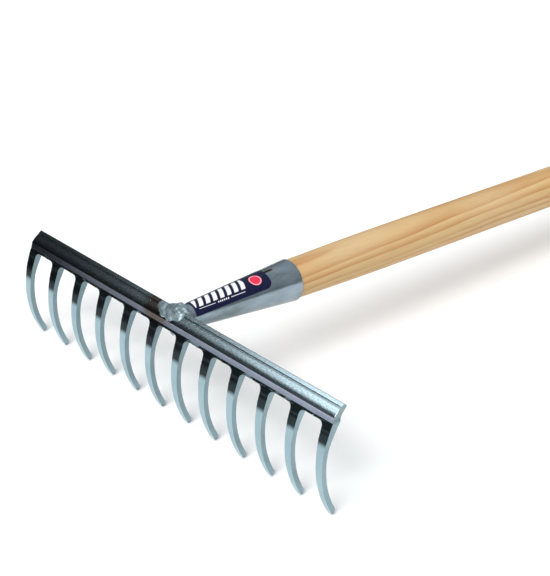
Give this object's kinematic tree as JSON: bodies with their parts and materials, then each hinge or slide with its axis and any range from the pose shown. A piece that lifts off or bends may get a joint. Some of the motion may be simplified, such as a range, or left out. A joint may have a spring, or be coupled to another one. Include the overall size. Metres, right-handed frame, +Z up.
{
  "type": "garden rake",
  "caption": "Level-head garden rake with curved punched tines, a conical sheet-metal socket welded to the bar and a straight round wooden handle.",
  "frame": {"origin": "bottom centre of the whole rake's box, on the surface that it stands on", "axes": "+X along the bar, +Y from the tines to the butt of the handle, +Z up"},
  "size_m": [0.3, 1.5336, 0.0764],
  "materials": {
    "zinc_head": "bright zinc plating with mirror-like rolled faces",
    "zinc_socket": "satin zinc plating with lengthwise bands",
    "weld_metal": "plated weld metal, lumpy and semi-bright",
    "pine": "clear varnished pine with long orange-brown grain",
    "label_foil": null
  },
  "bodies": {
    "root": {"rake_head": "zinc_head", "socket": "zinc_socket", "weld_top": "weld_metal", "weld_bottom": "weld_metal", "handle": "pine", "label": "label_foil"}
  },
  "joints": []
}
